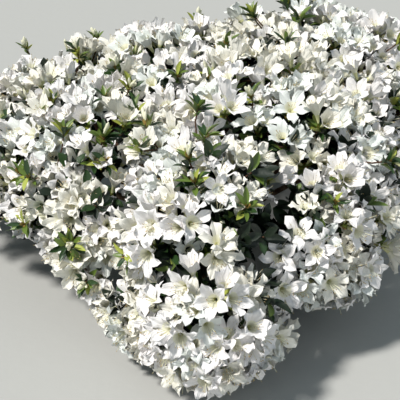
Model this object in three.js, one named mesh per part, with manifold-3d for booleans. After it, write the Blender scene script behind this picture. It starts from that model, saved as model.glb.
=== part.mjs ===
// A white garden azalea in full bloom: a low mound, wider than tall, whose boughs fork from one short stem.
// Millimetres, +Z up. The origin is at the flat cut under the stem, at ground level, and -Y is the front.

import * as THREE from "three";
import { mergeVertices } from "three/addons/utils/BufferGeometryUtils.js";
import Module from "manifold-3d";

const wasm = await Module();
wasm.setup();

// The crown every 30 degrees from +X, anticlockwise: how far it reaches from the axis, and how high above the
// ground its blossom begins. From above it is a rounded triangle with a narrow tongue of blossom to the
// front, which hangs lowest. At the left the crown hangs over open ground.
const crownReach = [385, 600, 575, 415, 410, 575, 505, 372, 365, 500, 405, 400];
const lowestBlossom = [60, 60, 60, 60, 70, 100, 160, 190, 95, 30, 80, 45];
const crownTop = 394; // over the axis
const crownRise = new THREE.Vector2(0.11, 0.03); // how the whole crown slopes up to the right and the back
const crownBelly = 205; // height where it is widest
const tongueDrop = 100; // how much lower that is at the front
const crownFullness = 2.35; // 2 is an ellipsoid, more is boxier
const lowestTurn = -0.62; // how far the blossom carries on round under the crown, as the sine of an angle

// The crown's masses of blossom. Each row is a bearing and a latitude on the crown, in degrees, and how deep
// the middle of the mass lies under that spot.
const massTable = {
  top: [[60, 86, 125]],
  upper: [
    [-94, 54, 125],
    [-22, 63, 125],
    [44, 60, 130],
    [112, 60, 130],
    [180, 60, 130],
  ],
  lower: [
    [-88, -2, 120],
    [-52, -4, 115],
    [-4, -2, 100],
    [38, -4, 115],
    [80, -4, 115],
    [124, -4, 115],
    [166, -4, 115],
    [213, -4, 105],
  ],
};
const billow = 12; // how much each mass swells in its middle
const billowReach = 220; // from its middle to where it has sunk again

// The short stem
const stemHeight = 88;
const stemLean = new THREE.Vector2(9, -6);
const stemFootRadius = 24;
const stemTipRadius = 17;
const stemRise = [0.33, 0.7]; // heights of the stem's two bends, as shares of its own
const rootFlare = 13; // how far the ridges of the flare stand out at the ground
const rootHollow = 0.5; // how far the flare stands out between them, as a share of that
const rootFlareHeight = 26;
const rootRidges = 5;
const stemSides = 20;
const stemSteps = 7;

// Boughs: radii at the fork and at the tip
const boughRadii = { top: [11, 5.5], upper: [9.5, 5.2], lower: [7, 4.6] };
const topFork = 0.93; // where the top bough leaves the stem, as a share of the stem's length
const upperForks = [0.55, 0.65, 0.75, 0.85]; // and the upper ones, taken in turn
const lowerForks = [0.24, 0.44, 0.64]; // and the lower ones from an upper one, taken in turn
const upperSpread = 0.75; // how far out an upper bough sets off for each step up
const lowerRise = 0.12; // how far up a lower bough sets off for each step out
const boughSpring = 0.42; // how far a bough keeps its first way, as a share of its length
const boughLanding = 0.36; // and its last
const boughClearance = 0.3; // between one limb and the next
const boughSides = 6;
const boughSteps = 6;

// Blossom, larger than life, because each flower stands for a few
const flowerWidth = 80;
const flowerSizes = [1.04, 0.92, 0.8, 0.68, 0.58]; // shares of that width, tried in turn until one has room
const flowerSpacing = 60.5; // least distance from one to the next
const flowerTries = 9000; // places tried all over the crown
const flowerThroat = 24; // how deep the funnel is inside
const flowerFunnel = 30; // from the end of the tube to the tips of the petals
const tubeRadius = 6;
const notchShare = 0.66; // how far out the notches between the five petals are, as a share of their tips
const notchDrop = 7.2; // how far they lie behind the tips
const wallRoom = 31; // from the middle of a flower to the edge of its mass's own space, at least
const leastRoom = 0.7; // a flower is left out where it finds less than this share of that room
const highest = 22; // how far some of the flowers stand above the others

// Trusses, each a few flowers on one shoot
const flowersInTruss = 3;
const trussReach = 1.6; // how far apart its flowers may be, as a share of their spacing
const trussRise = 0.2; // how much it turns up
const trussSpread = 0.5; // how much it turns away from the middle of its mass
const trussDepth = 78; // from the blossom's surface down to the tip of the shoot
const tallest = 48; // how far the tallest shoots stand above the crown
const tallRarity = 9; // how rare they are

// Leaves and twigs
const leafLength = 58;
const leafWidth = 22;
const leafThickness = 2.4;
const leavesInTruss = 2;
const leafLean = [0.7, 1.2]; // least and most that a leaf leans along its shoot for each step out
const twigRadius = 4.4; // corners of a twig where it forks in the middle of its mass
const twigFork = 0.3; // where that is, as a share of the way to its tip
const shootRadius = 7.6; // and under a truss, where the bud scales are
const shootDepth = 5; // how far the roots of flowers and leaves are sunk

// The dense inside of a mass
const coreDepth = 98; // under the blossom's surface
const coreRoughness = 0.1; // how far its corners go in and out, as a share of that depth
const coreShare = 0.94; // how much of the way to the walls of the mass's own space it fills
const coreSmallest = 24; // how far it reaches inwards, at least
const coreLargest = 112; // and at most
const stemShown = 14; // how much of the stem of a mass shows below it
const stemInside = 8; // how far that stem goes on past the middle of the mass
const entryRoom = 8; // from the foot of that stem to the edge of the mass's own space

const massClearance = 1.5; // from a mass to the edge of its own space
const groundClearance = 6; // from a mass to the ground
const limbClearance = 2; // from a twig, leaf or flower to a limb
const sliver = 0.03; // surfaces closer than this become one
const nearlyNone = 1e-6; // keeps a division from dividing by nothing

const up = new THREE.Vector3(0, 0, 1);

// A repeatable stream of numbers from 0 to 1
function seeded(seed) {
  let state = seed >>> 0;
  return () => {
    state = (Math.imul(state, 1664525) + 1013904223) >>> 0;
    return state / 4294967296;
  };
}

// A closed three.js shape as a solid that can be cut and joined
function solidOf(shape) {
  const bare = shape.clone();
  bare.deleteAttribute("normal");
  bare.deleteAttribute("uv");
  const merged = mergeVertices(bare, 1e-4);
  return new wasm.Manifold(
    new wasm.Mesh({
      numProp: 3,
      vertProperties: new Float32Array(merged.attributes.position.array),
      triVerts: new Uint32Array(merged.index.array),
    }),
  );
}

// The largest body of a solid as a three.js shape, without slivers and loose scraps
function shapeOf(solid) {
  const bodies = solid.simplify(sliver).decompose();
  const mesh = bodies.sort((a, b) => b.volume() - a.volume())[0].getMesh();
  return new THREE.BufferGeometry()
    .setAttribute("position", new THREE.BufferAttribute(new Float32Array(mesh.vertProperties), 3))
    .setIndex(new THREE.BufferAttribute(new Uint32Array(mesh.triVerts), 1));
}

function joined(solids) {
  if (solids.length === 1) return solids[0];
  const half = Math.ceil(solids.length / 2);
  return joined(solids.slice(0, half)).add(joined(solids.slice(half)));
}

// Turns a shape that stands on the origin along +Z so that it stands at a point along a direction
function stand(shape, at, direction, roll = 0) {
  const turn = new THREE.Quaternion().setFromUnitVectors(up, direction.clone().normalize());
  return shape.rotateZ(roll).applyQuaternion(turn).translate(at.x, at.y, at.z);
}

function pointsOf(shape) {
  const position = shape.attributes.position;
  const pointAt = (_, i) => new THREE.Vector3().fromBufferAttribute(position, i);
  return Array.from({ length: position.count }, pointAt);
}

// A cylinder bent along a curve. radiusAt(share of its length, angle round it) gives its radius.
function limb(curve, radiusAt, sides, steps) {
  const shape = new THREE.CylinderGeometry(1, 1, 1, sides, steps);
  const frames = curve.computeFrenetFrames(steps, false);
  const position = shape.attributes.position;
  for (let i = 0; i < position.count; i++) {
    const share = position.getY(i) + 0.5;
    const step = Math.round(share * steps);
    const angle = Math.atan2(position.getX(i), position.getZ(i));
    const radius = Math.hypot(position.getX(i), position.getZ(i)) * radiusAt(share, angle);
    const point = curve
      .getPointAt(share)
      .addScaledVector(frames.normals[step], Math.cos(angle) * radius)
      .addScaledVector(frames.binormals[step], Math.sin(angle) * radius);
    position.setXYZ(i, point.x, point.y, point.z);
  }
  return shape;
}

// The value of one of the crown's rows at a bearing, smoothly between the given ones
function roundCrown(row, bearing) {
  const turn = THREE.MathUtils.euclideanModulo(bearing / (2 * Math.PI), 1) * row.length;
  const k = Math.floor(turn);
  const given = (step) => row[(k + step + row.length) % row.length];
  const [a, b, c, d] = [-1, 0, 1, 2].map(given);
  const t = turn - k;
  return b + 0.5 * t * (c - a + t * (2 * a - 5 * b + 4 * c - d + t * (3 * (b - c) + d - a)));
}

// Height where the crown is widest at a bearing
function bellyAt(bearing) {
  return crownBelly - tongueDrop * Math.max(0, -Math.sin(bearing)) ** 3;
}

// A point of the crown's surface at a bearing and a latitude
function crownPoint(bearing, latitude) {
  const power = 2 / crownFullness;
  const across = roundCrown(crownReach, bearing) * Math.cos(latitude) ** power;
  const belly = bellyAt(bearing);
  const rise = Math.abs(Math.sin(latitude)) ** power;
  const height = latitude > 0 ? belly + (crownTop - belly) * rise : belly * (1 - rise);
  const [x, y] = [across * Math.cos(bearing), across * Math.sin(bearing)];
  return new THREE.Vector3(x, y, height * (1 + (crownRise.x * x + crownRise.y * y) / crownTop));
}

function crownNormal(bearing, latitude) {
  const step = 0.02;
  const east = crownPoint(bearing + step, latitude).sub(crownPoint(bearing - step, latitude));
  const north = crownPoint(bearing, latitude + step).sub(crownPoint(bearing, latitude - step));
  return east.cross(north).normalize();
}

// How far out in the crown a point is, with 1 on its surface
function crownLevel(point) {
  const bearing = Math.atan2(point.y, point.x);
  const height = point.z / (1 + (crownRise.x * point.x + crownRise.y * point.y) / crownTop);
  const belly = bellyAt(bearing);
  const across = Math.hypot(point.x, point.y) / roundCrown(crownReach, bearing);
  const rise = height > belly ? (height - belly) / (crownTop - belly) : (belly - height) / belly;
  return (across ** crownFullness + rise ** crownFullness) ** (1 / crownFullness);
}

// The masses, each with its spot on the crown, its middle, and the flat walls between its own space and the
// others', as directions and distances from its middle
function makeMasses() {
  const masses = Object.entries(massTable).flatMap(([ring, rows]) =>
    rows.map(([degrees, latitudeDegrees, depth], k) => {
      const bearing = THREE.MathUtils.degToRad(degrees);
      const latitude = THREE.MathUtils.degToRad(latitudeDegrees);
      const spot = crownPoint(bearing, latitude);
      const middle = spot.clone().addScaledVector(crownNormal(bearing, latitude), -depth);
      const name = rows.length > 1 ? ring + "_" + (k + 1) : ring;
      const seed = 1000 * ring.length + 10 * k;
      return { ring, name, bearing, spot, middle, seed };
    }),
  );
  for (const mass of masses) {
    mass.walls = masses
      .filter((other) => other !== mass)
      .map((other) => {
        const between = other.middle.clone().sub(mass.middle);
        return { reach: between.length() / 2, direction: between.normalize() };
      });
  }
  return masses;
}

// How far inside its own space a point of a mass is
function roomAt(mass, point) {
  const from = point.clone().sub(mass.middle);
  return Math.min(...mass.walls.map((wall) => wall.reach - from.dot(wall.direction)));
}

// Places of the flowers over the whole crown, dealt out to the masses. A place by the wall of its mass's
// space moves in until its flower has room, and a place too near one that is taken is left out.
function flowerPlaces(masses) {
  const random = seeded(9);
  const places = [];
  for (let k = 0; k < flowerTries; k++) {
    const bearing = 2 * Math.PI * random();
    const latitude = Math.asin(THREE.MathUtils.lerp(lowestTurn, 1, random()));
    const point = crownPoint(bearing, latitude);
    const normal = crownNormal(bearing, latitude);
    const mass = masses.reduce((best, one) => (roomAt(one, point) > roomAt(best, point) ? one : best));
    for (const wall of mass.walls) {
      const across = wall.direction.clone().addScaledVector(normal, -wall.direction.dot(normal));
      const room = wall.reach - point.clone().sub(mass.middle).dot(wall.direction);
      const short = wallRoom - room;
      if (short > 0) point.addScaledVector(across, -short / Math.max(across.lengthSq(), 0.3));
    }
    const tooLow = point.z < roundCrown(lowestBlossom, bearing);
    const crowded = places.some((other) => other.point.distanceTo(point) < flowerSpacing);
    if (tooLow || crowded || roomAt(mass, point) < leastRoom * wallRoom) continue;
    const away = Math.min(point.distanceTo(mass.spot) / billowReach, 1);
    const lift = billow * Math.cos(Math.PI * away) + highest * random() ** 3;
    places.push({ mass, normal, point: point.addScaledVector(normal, lift - flowerThroat / 2) });
  }
  return places;
}

// Gathers the flowers of a mass into trusses of neighbours
function makeTrusses(places) {
  const left = [...places];
  const trusses = [];
  while (left.length) {
    const first = left.shift();
    const apart = (place) => place.point.distanceTo(first.point);
    const near = left.filter((place) => apart(place) < trussReach * flowerSpacing);
    const others = near.sort((a, b) => apart(a) - apart(b)).slice(0, flowersInTruss - 1);
    others.forEach((place) => left.splice(left.indexOf(place), 1));
    trusses.push([first, ...others]);
  }
  return trusses;
}

// A funnel of five pointed petals on a narrow tube, from its foot at the origin to its mouth up +Z
function flower(length, width) {
  const profile = [
    new THREE.Vector2(0, 0),
    new THREE.Vector2(tubeRadius, length - flowerFunnel),
    new THREE.Vector2(width / 2, length),
    new THREE.Vector2(0, length - flowerThroat),
  ];
  const shape = new THREE.LatheGeometry(profile, 10, Math.PI / 2).rotateX(Math.PI / 2);
  const position = shape.attributes.position;
  for (let i = 0; i < position.count; i++) {
    const [x, y, z] = [position.getX(i), position.getY(i), position.getZ(i)];
    const radius = Math.hypot(x, y);
    const tenth = Math.round(Math.atan2(y, x) / (Math.PI / 5));
    const atNotch = tenth % 2 !== 0;
    const atMouth = radius > tubeRadius + 1;
    if (atMouth && atNotch) position.setXYZ(i, x * notchShare, y * notchShare, z - notchDrop);
    if (atMouth || radius < 1) continue;
    const side = Math.round((tenth + 5) / 3.4); // the ten corners of the tube's end gather at three
    const angle = side * ((2 * Math.PI) / 3) - Math.PI;
    position.setXY(i, tubeRadius * Math.cos(angle), tubeRadius * Math.sin(angle));
  }
  return shape;
}

// A leaf of eight faces, thickest along its middle
function leaf() {
  const shape = new THREE.OctahedronGeometry(1, 0);
  return shape.scale(leafWidth / 2, leafThickness / 2, leafLength / 2).translate(0, 0, leafLength / 2);
}

// A straight three-sided twig that tapers from one point to another
function twig(from, to, radius, tipRadius) {
  const third = (2 * Math.PI) / 3;
  const corners = [0, 1, 2].map((k) => new THREE.Vector2(-Math.sin(k * third), Math.cos(k * third)));
  const length = from.distanceTo(to);
  const shape = new THREE.ExtrudeGeometry(new THREE.Shape(corners), { depth: length, bevelEnabled: false });
  const position = shape.attributes.position;
  for (let i = 0; i < position.count; i++) {
    const thick = THREE.MathUtils.lerp(radius, tipRadius, position.getZ(i) / length);
    position.setXYZ(i, position.getX(i) * thick, position.getY(i) * thick, position.getZ(i));
  }
  return stand(shape, from, to.clone().sub(from));
}

// How far the dense inside of a mass reaches from its middle in one direction
function coreReach(mass, way, depth) {
  let inside = 0;
  let outside = 2 * crownTop;
  for (let step = 0; step < 16; step++) {
    const halfway = (inside + outside) / 2;
    const level = crownLevel(mass.middle.clone().addScaledVector(way, halfway));
    if (level < 1) inside = halfway;
    else outside = halfway;
  }
  return Math.max(coreSmallest, Math.min(inside - depth, coreLargest, coreShare * wallReach(mass, way)));
}

// How far it is from the middle of a mass to the walls of its own space in one direction
function wallReach(mass, way) {
  return Math.min(...mass.walls.map((wall) => wall.reach / Math.max(way.dot(wall.direction), nearlyNone)));
}

// The dense inside of a mass, a faceted lump
function core(mass) {
  const random = seeded(mass.seed + 7);
  const bare = new THREE.IcosahedronGeometry(1, 1);
  bare.deleteAttribute("normal");
  bare.deleteAttribute("uv");
  const shape = mergeVertices(bare, 1e-3);
  const position = shape.attributes.position;
  for (let i = 0; i < position.count; i++) {
    const way = new THREE.Vector3().fromBufferAttribute(position, i).normalize();
    const depth = coreDepth * (1 + coreRoughness * (2 * random() - 1));
    const point = mass.middle.clone().addScaledVector(way, coreReach(mass, way, depth));
    position.setXYZ(i, point.x, point.y, point.z);
  }
  return shape;
}

// The stem from its flat cut to its fork, with ridges of root flare
function makeStem() {
  const tip = new THREE.Vector3(stemLean.x, stemLean.y, stemHeight);
  const curve = new THREE.CubicBezierCurve3(
    new THREE.Vector3(),
    new THREE.Vector3(0, 0, stemHeight * stemRise[0]),
    new THREE.Vector3(tip.x, tip.y, stemHeight * stemRise[1]),
    tip,
  );
  const radius = (share, angle) => {
    const flare = rootFlare * Math.exp((-share * stemHeight) / rootFlareHeight);
    const ridge = THREE.MathUtils.lerp(rootHollow, 1, 0.5 + 0.5 * Math.cos(rootRidges * angle));
    return THREE.MathUtils.lerp(stemFootRadius, stemTipRadius, share) + flare * ridge;
  };
  const shape = limb(curve, radius, stemSides, stemSteps);
  const position = shape.attributes.position;
  for (let i = 0; i < position.count; i++) {
    if (position.getZ(i) < 0.5) position.setZ(i, 0);
  }
  return { name: "stem", curve, radius, sides: stemSides, steps: stemSteps, shape };
}

// Where a bough hands over to the stem of its mass, and the way it points there
function entryOf(mass) {
  const fork = new THREE.Vector3(stemLean.x, stemLean.y, stemHeight * upperForks.at(-1));
  const way = mass.middle.clone().sub(fork).normalize();
  const back = way.clone().negate();
  const out = Math.min(coreReach(mass, back, coreDepth) + stemShown, wallReach(mass, back) - entryRoom);
  return { point: mass.middle.clone().addScaledVector(back, out), way };
}

// One tapering bough from a point on its parent's line to the mass that it carries
function makeBough(mass, parent, share, firstWay) {
  const { point: tip, way } = entryOf(mass);
  const foot = parent.curve.getPointAt(share);
  const length = foot.distanceTo(tip);
  const curve = new THREE.CubicBezierCurve3(
    foot,
    foot.clone().addScaledVector(firstWay, boughSpring * length),
    tip.clone().addScaledVector(way, -boughLanding * length),
    tip,
  );
  const [thick, thin] = boughRadii[mass.ring];
  const radius = (along) => THREE.MathUtils.lerp(thick, thin, along);
  const shape = limb(curve, radius, boughSides, boughSteps);
  return { name: "bough_" + mass.name, mass, curve, radius, sides: boughSides, steps: boughSteps, shape };
}

// The limb's solid with a clearance all round it
function grownSolid(one, clearance) {
  const allowance = clearance / Math.cos(Math.PI / one.sides);
  const radius = (share, angle) => one.radius(share, angle) + allowance;
  return solidOf(limb(one.curve, radius, one.sides, one.steps));
}

// The angle between two bearings, whichever way round is shorter
function turnBetween(one, other) {
  return Math.acos(Math.cos(one - other));
}

// The top bough and the upper ones fork from the stem, and each lower one from the nearest upper one
function makeBoughs(masses, stem) {
  const boughs = [];
  for (const mass of masses.filter((one) => one.ring !== "lower")) {
    const outward = new THREE.Vector3(Math.cos(mass.bearing), Math.sin(mass.bearing), 0);
    const isTop = mass.ring === "top";
    const share = isTop ? topFork : upperForks[boughs.length % upperForks.length];
    const way = isTop ? up.clone() : outward.multiplyScalar(upperSpread).add(up).normalize();
    boughs.push(makeBough(mass, stem, share, way));
  }
  const uppers = boughs.filter((bough) => bough.mass.ring === "upper");
  const taken = new Map(uppers.map((bough) => [bough, 0]));
  for (const mass of masses.filter((one) => one.ring === "lower")) {
    const apart = (bough) => turnBetween(bough.mass.bearing, mass.bearing);
    const parent = uppers.reduce((best, bough) => (apart(bough) < apart(best) ? bough : best));
    const outward = new THREE.Vector3(Math.cos(mass.bearing), Math.sin(mass.bearing), lowerRise);
    boughs.push(makeBough(mass, parent, lowerForks[taken.get(parent)], outward.normalize()));
    taken.set(parent, taken.get(parent) + 1);
  }
  return boughs;
}

// The solid of a shape, or nothing where it would leave the mass's space, reach the ground or touch a limb
function fitted(shape, mass, limbSpace) {
  const clear = (point) => roomAt(mass, point) > massClearance && point.z > groundClearance;
  if (!pointsOf(shape).every(clear)) return [];
  const solid = solidOf(shape);
  return solid.intersect(limbSpace).isEmpty() ? [solid] : [];
}

function meanOf(points) {
  return points.reduce((sum, point) => sum.add(point), new THREE.Vector3()).divideScalar(points.length);
}

// A shoot with its truss of flowers over a whorl of leaves, as solids that reach into each other
function makeTruss(truss, mass, limbSpace, random) {
  const middle = meanOf(truss.map((place) => place.point));
  const facing = meanOf(truss.map((place) => place.normal)).addScaledVector(up, trussRise);
  facing.addScaledVector(middle.clone().sub(mass.middle).normalize(), trussSpread).normalize();
  const lift = tallest * random() ** tallRarity;
  const tip = middle.clone().addScaledVector(facing, lift - trussDepth);
  const fork = mass.middle.clone().lerp(tip, twigFork);
  const shoot = tip.clone().sub(fork).normalize();
  const eye = tip.clone().addScaledVector(shoot, -shootDepth);
  const blossom = truss.flatMap((place) => {
    const mouth = place.point.clone().addScaledVector(facing, lift).sub(eye);
    const roll = 2 * Math.PI * random();
    const sized = (size) => stand(flower(mouth.length(), flowerWidth * size), eye, mouth, roll);
    const firstOf = (made, size) => (made.length ? made : fitted(sized(size), mass, limbSpace));
    return flowerSizes.reduce(firstOf, []);
  });
  const turned = new THREE.Quaternion().setFromUnitVectors(up, shoot);
  const whorl = Array.from({ length: leavesInTruss }, (_, k) => {
    const face = Math.floor(3 * random()) + k; // a leaf leaves the middle of one of the twig's three faces
    const angle = face * ((2 * Math.PI) / 3) + Math.PI / 6;
    const side = new THREE.Vector3(Math.cos(angle), Math.sin(angle), 0).applyQuaternion(turned);
    const lean = shoot.clone().multiplyScalar(THREE.MathUtils.lerp(...leafLean, random())).add(side);
    const root = eye.clone().addScaledVector(shoot, -2 * shootDepth * (k + 1));
    return fitted(stand(leaf(), root, lean, angle), mass, limbSpace);
  }).flat();
  const stalk = fitted(twig(fork, tip, twigRadius, shootRadius), mass, limbSpace);
  return blossom.length && stalk.length ? [...stalk, ...blossom, ...whorl] : [];
}

// One mass: a stem that branches from its dense inside to the shoots that carry the trusses
function makeMass(mass, places, limbSpace) {
  const random = seeded(mass.seed + 3);
  const { point, way } = entryOf(mass);
  const foot = point.clone().addScaledVector(way, boughClearance);
  const heart = mass.middle.clone().addScaledVector(way, stemInside);
  const massStemRadius = boughRadii[mass.ring].at(-1);
  const massStem = limb(new THREE.LineCurve3(foot, heart), () => massStemRadius, boughSides, 1);
  const own = places.filter((place) => place.mass === mass);
  const trusses = makeTrusses(own).flatMap((truss) => makeTruss(truss, mass, limbSpace, random));
  return shapeOf(joined([solidOf(massStem), solidOf(core(mass)).subtract(limbSpace), ...trusses]));
}

const barkMaterial = new THREE.MeshStandardMaterial({ color: 0x4a3526, roughness: 0.9, metalness: 0 });
const blossomMaterial = new THREE.MeshStandardMaterial({ color: 0xf4f2ea, roughness: 0.6, metalness: 0 });

function named(name, shape, material) {
  const mesh = new THREE.Mesh(shape, material);
  mesh.name = name;
  return mesh;
}

const masses = makeMasses();
const places = flowerPlaces(masses);
const stem = makeStem();
const boughs = makeBoughs(masses, stem);
const shrub = new THREE.Group();
shrub.add(named("stem", stem.shape, barkMaterial));
const before = [stem];
for (const bough of boughs) {
  let solid = solidOf(bough.shape);
  for (const other of before) solid = solid.subtract(grownSolid(other, boughClearance));
  shrub.add(named(bough.name, shapeOf(solid), barkMaterial));
  before.push(bough);
}

const limbSpace = joined(before.map((one) => grownSolid(one, limbClearance)));
for (const mass of masses) {
  shrub.add(named("mass_" + mass.name, makeMass(mass, places, limbSpace), blossomMaterial));
}

export default shrub;
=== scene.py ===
import math

import bpy
import numpy as np
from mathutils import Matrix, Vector


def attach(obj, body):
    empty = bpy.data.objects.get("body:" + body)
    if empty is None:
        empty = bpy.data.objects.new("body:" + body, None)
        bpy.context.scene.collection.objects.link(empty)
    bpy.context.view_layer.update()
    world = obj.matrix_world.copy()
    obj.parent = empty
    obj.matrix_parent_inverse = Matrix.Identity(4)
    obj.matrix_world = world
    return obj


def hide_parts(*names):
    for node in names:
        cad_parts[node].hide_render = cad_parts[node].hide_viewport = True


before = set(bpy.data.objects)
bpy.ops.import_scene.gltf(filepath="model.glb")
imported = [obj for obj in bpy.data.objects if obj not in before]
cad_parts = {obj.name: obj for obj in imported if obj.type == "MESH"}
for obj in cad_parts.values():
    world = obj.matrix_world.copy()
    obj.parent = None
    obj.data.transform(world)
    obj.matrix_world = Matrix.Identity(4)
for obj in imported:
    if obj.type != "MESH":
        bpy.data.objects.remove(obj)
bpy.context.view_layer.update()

massNodes = sorted(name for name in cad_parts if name.startswith("mass_"))
limbNodes = sorted(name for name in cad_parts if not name.startswith("mass_"))
print("frame:", len(massNodes), "masses,", len(limbNodes), "limbs")

up = np.array([0.0, 0.0, 1.0])
nearlyUp = up + np.array([0.013, 0.007, 0.0])  # stands in for it where a way may be straight up
full = 2 * math.pi


# Small helpers for arrays of points and vectors, all in metres
def unit(vectors):
    vectors = np.asarray(vectors, float)
    return vectors / np.maximum(np.linalg.norm(vectors, axis=-1, keepdims=True), 1e-9)


def between(low, high, share):
    return low + (high - low) * share


def sideways(ways, towards):  # the part of towards that is square to ways
    return unit(towards - ways * np.sum(ways * towards, axis=-1, keepdims=True))


def levelWay(bearing):
    return np.array([math.cos(bearing), math.sin(bearing), 0.0])


def leaning(way, turn, tilt):  # way, tilted away from itself at a turn round it
    across = sideways(way, nearlyUp)
    over = np.cross(way, across)
    return way * math.cos(tilt) + (across * math.cos(turn) + over * math.sin(turn)) * math.sin(tilt)


# The crown, by the same rule as the solids: every 30 degrees from +X, its reach and where its blossom begins
crown = {
    "reach": [0.385, 0.600, 0.575, 0.415, 0.410, 0.575, 0.505, 0.372, 0.365, 0.500, 0.405, 0.400],
    "lowest": [0.060, 0.060, 0.060, 0.060, 0.070, 0.100, 0.160, 0.190, 0.095, 0.030, 0.080, 0.045],
    "top": 0.394,
    "rise": (0.11, 0.03),  # how it slopes up to the right and the back
    "belly": 0.205,  # height where it is widest
    "tongueDrop": 0.100,  # how much lower that is at the front
    "fullness": 2.35,
    "lowestSine": -0.62,  # of the latitude down to which there is blossom
    "masses": {  # bearing, latitude, depth of the middle
        "top": [(60, 86, 0.125)],
        "upper": [(-94, 54, 0.125), (-22, 63, 0.125), (44, 60, 0.130), (112, 60, 0.130), (180, 60, 0.130)],
        "lower": [
            (-88, -2, 0.120), (-52, -4, 0.115), (-4, -2, 0.100), (38, -4, 0.115),
            (80, -4, 0.115), (124, -4, 0.115), (166, -4, 0.115), (213, -4, 0.105),
        ],
    },
    "coreDepth": 0.098,  # from the crown's surface down to a mass's core
    "coreShare": 0.94,  # of the way to the walls between the masses
    "coreSmallest": 0.024,
    "coreLargest": 0.112,
}


def roundCrown(row, bearing):  # the value of one of the crown's rows at a bearing
    row = np.array(crown[row])
    turn = np.mod(np.asarray(bearing, float) / full, 1) * len(row)
    first = np.floor(turn).astype(int)
    t = turn - first
    a, b, c, d = (row[(first + step) % len(row)] for step in (-1, 0, 1, 2))
    return b + 0.5 * t * (c - a + t * (2 * a - 5 * b + 4 * c - d + t * (3 * (b - c) + d - a)))


def bellyAt(bearing):
    return crown["belly"] - crown["tongueDrop"] * np.maximum(0, -np.sin(bearing)) ** 3


def slopeAt(x, y):
    return 1 + (crown["rise"][0] * x + crown["rise"][1] * y) / crown["top"]


def crownPoint(bearing, latitude):
    power = 2 / crown["fullness"]
    across = roundCrown("reach", bearing) * np.abs(np.cos(latitude)) ** power
    belly = bellyAt(bearing)
    rise = np.abs(np.sin(latitude)) ** power
    height = np.where(latitude > 0, belly + (crown["top"] - belly) * rise, belly * (1 - rise))
    x, y = across * np.cos(bearing), across * np.sin(bearing)
    return np.stack([x, y, height * slopeAt(x, y)], axis=-1)


def crownNormal(bearing, latitude):
    step = 0.02
    east = crownPoint(bearing + step, latitude) - crownPoint(bearing - step, latitude)
    north = crownPoint(bearing, latitude + step) - crownPoint(bearing, latitude - step)
    return unit(np.cross(east, north))


def crownLevel(point):  # 1 on the crown's surface
    bearing = np.arctan2(point[..., 1], point[..., 0])
    height = point[..., 2] / slopeAt(point[..., 0], point[..., 1])
    belly = bellyAt(bearing)
    across = np.hypot(point[..., 0], point[..., 1]) / roundCrown("reach", bearing)
    rise = np.where(height > belly, (height - belly) / (crown["top"] - belly), (belly - height) / belly)
    power = crown["fullness"]
    return (across ** power + np.maximum(rise, 0) ** power) ** (1 / power)


masses = []
for ring, rows in crown["masses"].items():
    for *degrees, depth in rows:
        bearing, latitude = np.radians(degrees)
        spot = crownPoint(bearing, latitude)
        middle = spot - crownNormal(bearing, latitude) * depth
        masses.append({"ring": ring, "bearing": bearing, "spot": spot, "middle": middle})
middles = np.array([mass["middle"] for mass in masses])
for index, mass in enumerate(masses):
    others = np.delete(middles, index, axis=0) - mass["middle"]
    mass["wallReaches"] = np.linalg.norm(others, axis=1) / 2
    mass["wallWays"] = unit(others)


def wallReach(mass, way):
    return np.min(mass["wallReaches"] / np.maximum(mass["wallWays"] @ way, 1e-6))


def coreReach(mass, way):
    inside, outside = 0.0, 2 * crown["top"]
    for _ in range(16):
        halfway = (inside + outside) / 2
        if crownLevel(mass["middle"] + way * halfway) < 1:
            inside = halfway
        else:
            outside = halfway
    walled = crown["coreShare"] * wallReach(mass, way)
    return max(crown["coreSmallest"], min(inside - crown["coreDepth"], crown["coreLargest"], walled))


def ownerOf(points):  # the mass whose own space each point is in
    return np.argmin(np.linalg.norm(points[:, None] - middles[None], axis=2), axis=1)


# Shader maths: a socket that can be added, multiplied and so on, which adds its Math nodes
class Socket:
    def __init__(self, paint, output):
        self.paint = paint
        self.output = output

    def math(self, operation, *others):
        values = dict(enumerate((self, *others)))
        return self.paint.node("ShaderNodeMath", {"operation": operation}, values, 0)

    def __add__(self, other):
        return self.math("ADD", other)

    def __mul__(self, other):
        return self.math("MULTIPLY", other)

    def __rsub__(self, other):
        return self.math("MULTIPLY_ADD", -1, other)

    def __pow__(self, other):
        return self.math("POWER", other)

    __radd__ = __add__
    __rmul__ = __mul__


class Paint:
    def __init__(self, name):
        self.material = bpy.data.materials.new(name)
        self.material.use_nodes = True
        self.tree = self.material.node_tree
        self.tree.nodes.clear()

    def node(self, kind, settings, sockets, out=None):
        made = self.tree.nodes.new(kind)
        for name, value in settings.items():
            if name == "stops":
                for place, colour in value[2:]:
                    made.color_ramp.elements.new(place)
                for element, (place, colour) in zip(made.color_ramp.elements, value):
                    element.position = place
                    element.color = colour
            else:
                setattr(made, name, value)
        for name, value in sockets.items():
            if isinstance(value, Socket):
                self.tree.links.new(value.output, made.inputs[name])
            else:
                made.inputs[name].default_value = value
        return made if out is None else Socket(self, made.outputs[out])

    def place(self):
        return self.node("ShaderNodeTexCoord", {}, {}, "Object")

    def noise(self, place, scale, detail):
        values = {"Vector": place, "Scale": scale, "Detail": detail}
        return self.node("ShaderNodeTexNoise", {}, values, "Fac")

    def finish(self, colour, rough, shine, height, strength, depth, coat=0.0):
        bump = {"Height": height, "Strength": strength, "Distance": depth}
        shader = self.node("ShaderNodeBsdfPrincipled", {}, {
            "Base Color": colour,
            "Roughness": rough,
            "Specular IOR Level": shine,
            "Coat Weight": coat,
            "Coat Roughness": 0.3,
            "Normal": self.node("ShaderNodeBump", {}, bump, "Normal"),
        }, "BSDF")
        self.node("ShaderNodeOutputMaterial", {}, {"Surface": shader})
        return self.material


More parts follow.
